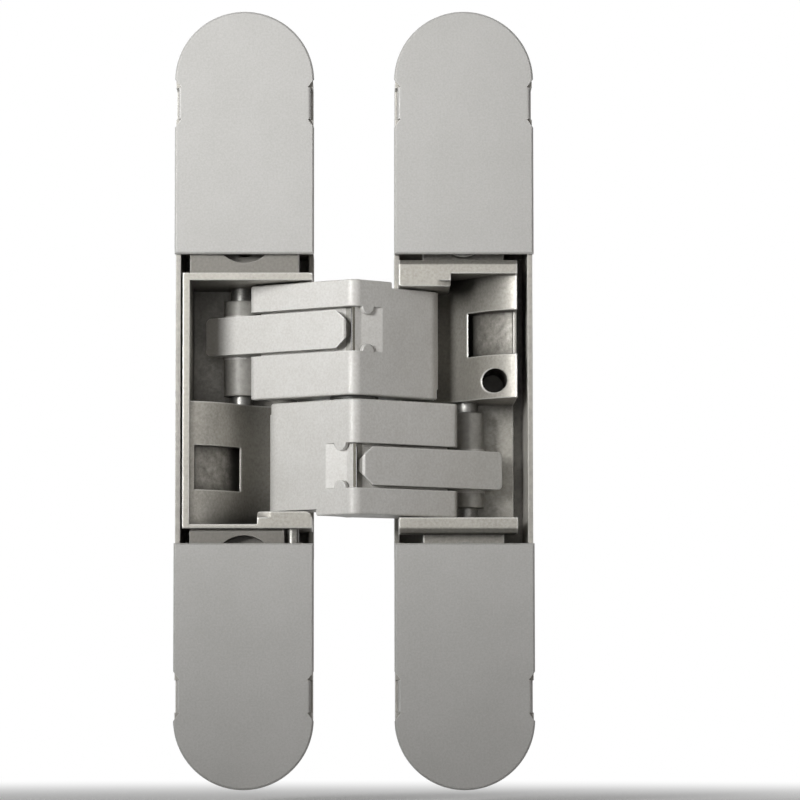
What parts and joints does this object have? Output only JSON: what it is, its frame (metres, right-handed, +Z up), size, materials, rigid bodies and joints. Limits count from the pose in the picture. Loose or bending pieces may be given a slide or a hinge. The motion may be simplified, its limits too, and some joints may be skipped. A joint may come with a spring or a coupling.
{
  "type": "concealed door hinge",
  "caption": "Concealed door hinge shown open: two mortised leaves with clip-on covers, folding arms and links on pins, height and side adjusters.",
  "frame": {"origin": "midway between the two open leaves, at mid height, on the plane of the bodies' front faces", "axes": "+X from the left leaf to the right leaf, +Y into the door and frame, +Z up along the hinge"},
  "size_m": [0.0618, 0.0294, 0.134],
  "materials": {
    "cover": "satin nickel silver",
    "arm": "satin nickel silver",
    "carriage": "satin nickel silver over cast zinc",
    "body": "cast zinc, dark in its pocket",
    "clamp": "satin cast zinc",
    "pin": "ground steel",
    "screw": "zinc-plated steel",
    "bush": "plain bearing plastic"
  },
  "bodies": {
    "left_body": {"left_body": "body", "left_cover_top": "cover", "left_cover_bottom": "cover", "left_clamp_top": "screw", "left_clamp_bottom": "screw"},
    "left_carriage": {"left_carriage": "carriage", "left_block_top": "clamp", "left_block_bottom": "clamp", "left_height_screw": "screw", "left_arm_pin": "pin", "left_link_pin": "pin", "left_spacer_low": "pin", "left_spacer_high": "pin"},
    "lower_arm": {"lower_arm": "arm", "lower_arm_bush": "bush", "lower_eye_pin": "pin", "centre_pin": "pin", "centre_washer": "bush"},
    "upper_arm": {"upper_arm": "arm", "upper_arm_bush": "bush", "upper_eye_pin": "pin", "centre_bush": "bush"},
    "right_carriage": {"right_carriage": "carriage", "right_arm_pin": "pin", "right_link_pin": "pin", "right_spacer_low": "pin", "right_spacer_high": "pin"},
    "upper_link": {"upper_link": "arm"},
    "lower_link": {"lower_link": "arm"},
    "right_body": {"right_body": "body", "right_cover_top": "cover", "right_cover_bottom": "cover", "right_clamp_top": "screw", "right_clamp_bottom": "screw"}
  },
  "joints": [
    {"name": "height_slide", "type": "slide", "parent": "left_body", "child": "left_carriage", "axis": [0, 0, 1], "range_m": [-0.002, 0.002]},
    {"name": "lower_arm_turn", "type": "hinge", "parent": "left_carriage", "child": "lower_arm", "pos_m": [-0.01099, 0.00898, 0], "axis": [0, 0, -1], "range_deg": [0, 82.86]},
    {"name": "centre_turn", "type": "hinge", "parent": "lower_arm", "child": "upper_arm", "pos_m": [0, 0.0015, 0], "axis": [0, 0, -1], "range_deg": [0, 14.29]},
    {"name": "upper_arm_turn", "type": "hinge", "parent": "upper_arm", "child": "right_carriage", "pos_m": [0.01099, 0.00898, 0], "axis": [0, 0, -1], "range_deg": [0, 82.87]},
    {"name": "upper_link_turn", "type": "hinge", "parent": "left_carriage", "child": "upper_link", "pos_m": [-0.01975, 0.01549, 0], "axis": [0, 0, -1], "range_deg": [0, 14.43]},
    {"name": "lower_link_turn", "type": "hinge", "parent": "right_carriage", "child": "lower_link", "pos_m": [0.01975, 0.01549, 0], "axis": [0, 0, 1], "range_deg": [0, 14.43]},
    {"name": "side_slide", "type": "slide", "parent": "right_carriage", "child": "right_body", "axis": [1, 0, 0], "range_m": [-0.00106, 0.00106]}
  ],
  "couplings": [
    {"joint": "centre_turn", "follows": "lower_arm_turn", "ratio": 0.17234},
    {"joint": "upper_arm_turn", "follows": "lower_arm_turn", "ratio": 1},
    {"joint": "upper_link_turn", "follows": "lower_arm_turn", "ratio": 0.17406},
    {"joint": "lower_link_turn", "follows": "lower_arm_turn", "ratio": 0.17406}
  ]
}
